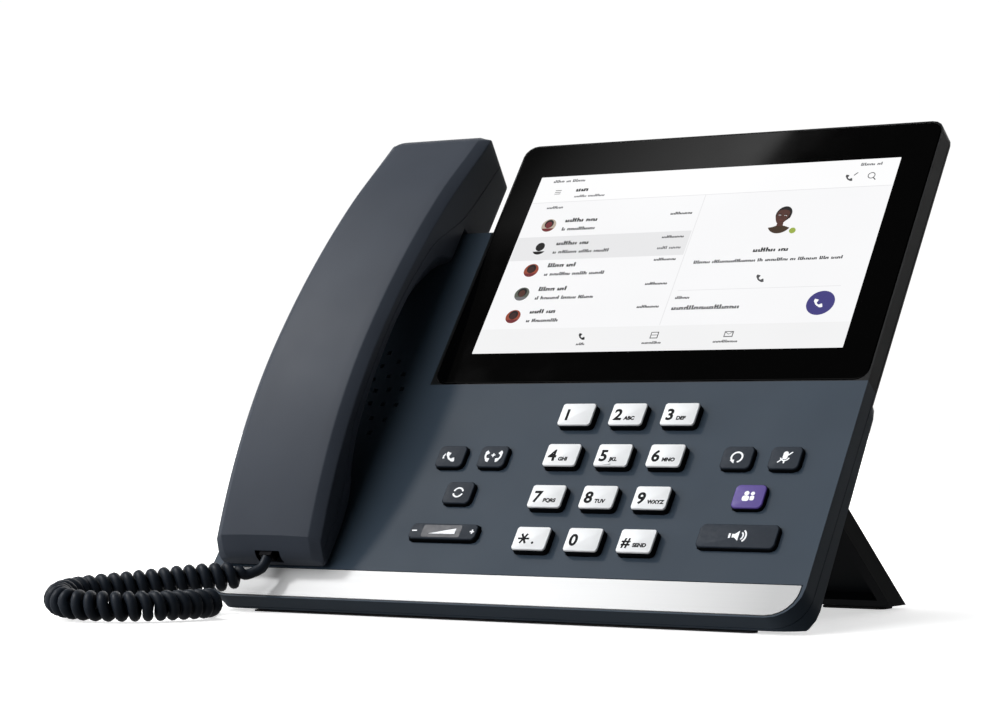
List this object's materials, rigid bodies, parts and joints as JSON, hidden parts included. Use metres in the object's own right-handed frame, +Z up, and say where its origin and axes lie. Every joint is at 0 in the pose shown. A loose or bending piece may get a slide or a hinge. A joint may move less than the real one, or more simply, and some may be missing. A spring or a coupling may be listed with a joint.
{
  "type": "desk ip phone",
  "caption": "Desk IP phone with a slanted console, a wide touch screen, a keypad, a corded handset on its cradle and a folding stand.",
  "frame": {"origin": "on the desk, below the middle of the phone without its cord", "axes": "+X to the right as the user sees the phone, +Y away from the user, +Z up"},
  "size_m": [0.271, 0.2282, 0.1868],
  "materials": {
    "slate_plastic": "fine texture, satin",
    "black_plastic": "fine texture, matte",
    "silver_trim": "brushed along its length",
    "screen_glass": "polished black cover glass, opaque round a lit display",
    "white_key": "smooth, satin",
    "dark_key": "smooth, satin",
    "purple_key": "smooth, glossy",
    "cord": "smooth flexible jacket, satin",
    "plug_plastic": "smoked plug body",
    "rubber": "matte",
    "steel": "plated",
    "circuit_board": "green solder mask"
  },
  "bodies": {
    "console": {"front_cover": "slate_plastic", "rear_cover": "black_plastic", "trim_strip": "silver_trim", "screen_glass": "screen_glass", "lcd_module": "steel", "main_board": "circuit_board", "key_board": "circuit_board", "key_mat": "rubber", "loudspeaker": "steel", "base_microphone": "steel", "hook_switch": "black_plastic", "handset_port": "black_plastic", "headset_port": "black_plastic", "network_port": "steel", "computer_port": "steel", "rear_screw_1": "steel", "rear_screw_2": "steel", "rear_screw_3": "steel", "rear_screw_4": "steel", "hinge_pin_left": "steel", "hinge_pin_right": "steel", "foot_strip": "rubber", "base_plug": "plug_plastic", "cord_coil": "cord", "cord_handset_lead": "cord", "cord_base_lead": "cord"},
    "handset": {"handset_outer": "slate_plastic", "handset_inner": "slate_plastic", "ear_speaker": "steel", "mouth_microphone": "steel", "handset_weight": "steel", "handset_jack": "black_plastic", "handset_plug": "plug_plastic"},
    "hook": {"hook_plunger": "black_plastic"},
    "stand": {"stand": "black_plastic", "stand_pad_left": "rubber", "stand_pad_right": "rubber"},
    "volume": {"volume_rocker": "dark_key"},
    "button_1": {"key_1": "white_key"},
    "button_2": {"key_2": "white_key"},
    "button_3": {"key_3": "white_key"},
    "button_4": {"key_4": "white_key"},
    "button_5": {"key_5": "white_key"},
    "button_6": {"key_6": "white_key"},
    "button_7": {"key_7": "white_key"},
    "button_8": {"key_8": "white_key"},
    "button_9": {"key_9": "white_key"},
    "button_star": {"key_star": "white_key"},
    "button_0": {"key_0": "white_key"},
    "button_hash": {"key_hash": "white_key"},
    "button_transfer": {"key_transfer": "dark_key"},
    "button_conference": {"key_conference": "dark_key"},
    "button_hold": {"key_hold": "dark_key"},
    "button_redial": {"key_redial": "dark_key"},
    "button_mute": {"key_mute": "dark_key"},
    "button_meeting": {"key_meeting": "purple_key"},
    "button_speaker": {"key_speaker": "dark_key"}
  },
  "joints": [
    {"name": "handset_lift", "type": "slide", "parent": "console", "child": "handset", "axis": [0, -0.8075, 0.5899], "range_m": [0, 0.06]},
    {"name": "hook_travel", "type": "slide", "parent": "console", "child": "hook", "axis": [0, -0.8075, 0.5899], "range_m": [0, 0.003]},
    {"name": "stand_fold", "type": "hinge", "parent": "console", "child": "stand", "pos_m": [0, -0.01105, 0.05939], "axis": [1, 0, 0], "range_deg": [0, 90]},
    {"name": "volume_tilt", "type": "hinge", "parent": "console", "child": "volume", "pos_m": [-0.0251, -0.0546, 0.02774], "axis": [0, 0.5899, 0.8075], "range_deg": [-2.5, 2.5], "stiffness_Nm_per_rad": 0.5},
    {"name": "press_1", "type": "slide", "parent": "console", "child": "button_1", "axis": [0, 0.8075, -0.5899], "range_m": [0, 0.0012], "stiffness_N_per_m": 500},
    {"name": "press_2", "type": "slide", "parent": "console", "child": "button_2", "axis": [0, 0.8075, -0.5899], "range_m": [0, 0.0012], "stiffness_N_per_m": 500},
    {"name": "press_3", "type": "slide", "parent": "console", "child": "button_3", "axis": [0, 0.8075, -0.5899], "range_m": [0, 0.0012], "stiffness_N_per_m": 500},
    {"name": "press_4", "type": "slide", "parent": "console", "child": "button_4", "axis": [0, 0.8075, -0.5899], "range_m": [0, 0.0012], "stiffness_N_per_m": 500},
    {"name": "press_5", "type": "slide", "parent": "console", "child": "button_5", "axis": [0, 0.8075, -0.5899], "range_m": [0, 0.0012], "stiffness_N_per_m": 500},
    {"name": "press_6", "type": "slide", "parent": "console", "child": "button_6", "axis": [0, 0.8075, -0.5899], "range_m": [0, 0.0012], "stiffness_N_per_m": 500},
    {"name": "press_7", "type": "slide", "parent": "console", "child": "button_7", "axis": [0, 0.8075, -0.5899], "range_m": [0, 0.0012], "stiffness_N_per_m": 500},
    {"name": "press_8", "type": "slide", "parent": "console", "child": "button_8", "axis": [0, 0.8075, -0.5899], "range_m": [0, 0.0012], "stiffness_N_per_m": 500},
    {"name": "press_9", "type": "slide", "parent": "console", "child": "button_9", "axis": [0, 0.8075, -0.5899], "range_m": [0, 0.0012], "stiffness_N_per_m": 500},
    {"name": "press_star", "type": "slide", "parent": "console", "child": "button_star", "axis": [0, 0.8075, -0.5899], "range_m": [0, 0.0012], "stiffness_N_per_m": 500},
    {"name": "press_0", "type": "slide", "parent": "console", "child": "button_0", "axis": [0, 0.8075, -0.5899], "range_m": [0, 0.0012], "stiffness_N_per_m": 500},
    {"name": "press_hash", "type": "slide", "parent": "console", "child": "button_hash", "axis": [0, 0.8075, -0.5899], "range_m": [0, 0.0012], "stiffness_N_per_m": 500},
    {"name": "press_transfer", "type": "slide", "parent": "console", "child": "button_transfer", "axis": [0, 0.8075, -0.5899], "range_m": [0, 0.0012], "stiffness_N_per_m": 500},
    {"name": "press_conference", "type": "slide", "parent": "console", "child": "button_conference", "axis": [0, 0.8075, -0.5899], "range_m": [0, 0.0012], "stiffness_N_per_m": 500},
    {"name": "press_hold", "type": "slide", "parent": "console", "child": "button_hold", "axis": [0, 0.8075, -0.5899], "range_m": [0, 0.0012], "stiffness_N_per_m": 500},
    {"name": "press_redial", "type": "slide", "parent": "console", "child": "button_redial", "axis": [0, 0.8075, -0.5899], "range_m": [0, 0.0012], "stiffness_N_per_m": 500},
    {"name": "press_mute", "type": "slide", "parent": "console", "child": "button_mute", "axis": [0, 0.8075, -0.5899], "range_m": [0, 0.0012], "stiffness_N_per_m": 500},
    {"name": "press_meeting", "type": "slide", "parent": "console", "child": "button_meeting", "axis": [0, 0.8075, -0.5899], "range_m": [0, 0.0012], "stiffness_N_per_m": 500},
    {"name": "press_speaker", "type": "slide", "parent": "console", "child": "button_speaker", "axis": [0, 0.8075, -0.5899], "range_m": [0, 0.0012], "stiffness_N_per_m": 500}
  ],
  "couplings": [
    {"joint": "hook_travel", "follows": "handset_lift", "ratio": 0.05}
  ]
}
